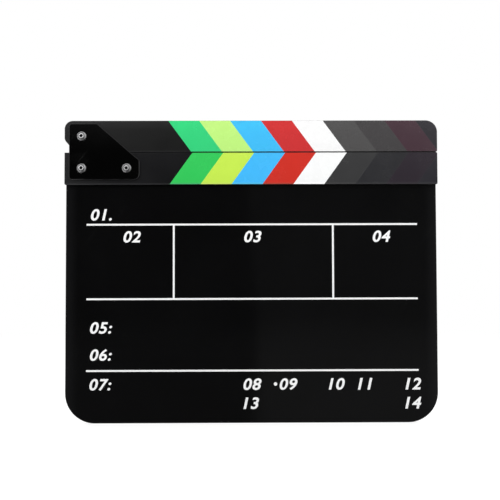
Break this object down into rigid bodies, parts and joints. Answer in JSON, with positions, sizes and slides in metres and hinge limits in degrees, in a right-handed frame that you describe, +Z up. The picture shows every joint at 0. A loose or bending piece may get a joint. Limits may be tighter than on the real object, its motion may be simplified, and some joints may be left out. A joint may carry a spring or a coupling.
{
  "type": "clapperboard",
  "caption": "Hand-held film slate: gloss black board with ruled fields and a hinged upper stick that claps on the fixed lower stick, both with coloured chevron stripes.",
  "frame": {"origin": "middle of the board's bottom edge, halfway through the sheet's thickness", "axes": "+X along the sticks from the hinge to the tip, +Y from the written face to the back, +Z up the board"},
  "size_m": [0.3, 0.021, 0.2425],
  "materials": {
    "board_acrylic": "polished black acrylic sheet",
    "stick_acrylic": "satin black printed acrylic",
    "plate_acrylic": "polished black acrylic",
    "bolt_steel": "turned stainless steel",
    "bush_brass": "turned brass",
    "magnet_nickel": "nickel plate",
    "washer_nylon": "natural nylon",
    "insert_nylon": "tinted nylon",
    "rule_ink": "white screen print",
    "film_green": "semi-gloss colour film",
    "film_lime": "semi-gloss colour film",
    "film_blue": "semi-gloss colour film",
    "film_red": "semi-gloss colour film",
    "film_white": "semi-gloss colour film",
    "film_grey": "semi-gloss colour film",
    "film_charcoal": "semi-gloss colour film",
    "film_maroon": "semi-gloss colour film",
    "film_slate": "semi-gloss colour film"
  },
  "bodies": {
    "slate": {"slate_board": "board_acrylic", "lower_stick_front": "stick_acrylic", "lower_stick_rear": "stick_acrylic", "hinge_plate_front": "plate_acrylic", "hinge_plate_rear": "plate_acrylic", "hinge_bolts": "bolt_steel", "pivot_bolt": "bolt_steel", "nut_washers": "bolt_steel", "lock_nuts": "bolt_steel", "pivot_bush": "bush_brass", "lower_magnet": "magnet_nickel", "pivot_washers": "washer_nylon", "hinge_shims": "washer_nylon", "nut_inserts": "insert_nylon", "field_lines": "rule_ink", "lower_stripe_green": "film_green", "lower_stripe_lime": "film_lime", "lower_stripe_blue": "film_blue", "lower_stripe_red": "film_red", "lower_stripe_white": "film_white", "lower_stripe_grey": "film_grey", "lower_stripe_charcoal": "film_charcoal", "lower_stripe_maroon": "film_maroon", "lower_stripe_slate": "film_slate"},
    "upper_stick": {"upper_stick_front": "stick_acrylic", "upper_stick_core": "stick_acrylic", "upper_stick_rear": "stick_acrylic", "upper_magnet": "magnet_nickel", "upper_stripe_green": "film_green", "upper_stripe_lime": "film_lime", "upper_stripe_blue": "film_blue", "upper_stripe_red": "film_red", "upper_stripe_white": "film_white", "upper_stripe_grey": "film_grey", "upper_stripe_charcoal": "film_charcoal", "upper_stripe_maroon": "film_maroon", "upper_stripe_slate": "film_slate"}
  },
  "joints": [
    {"name": "clap", "type": "hinge", "parent": "slate", "child": "upper_stick", "pos_m": [-0.1358, 0, 0.2297], "axis": [0, -1, 0], "range_deg": [0, 50]}
  ]
}
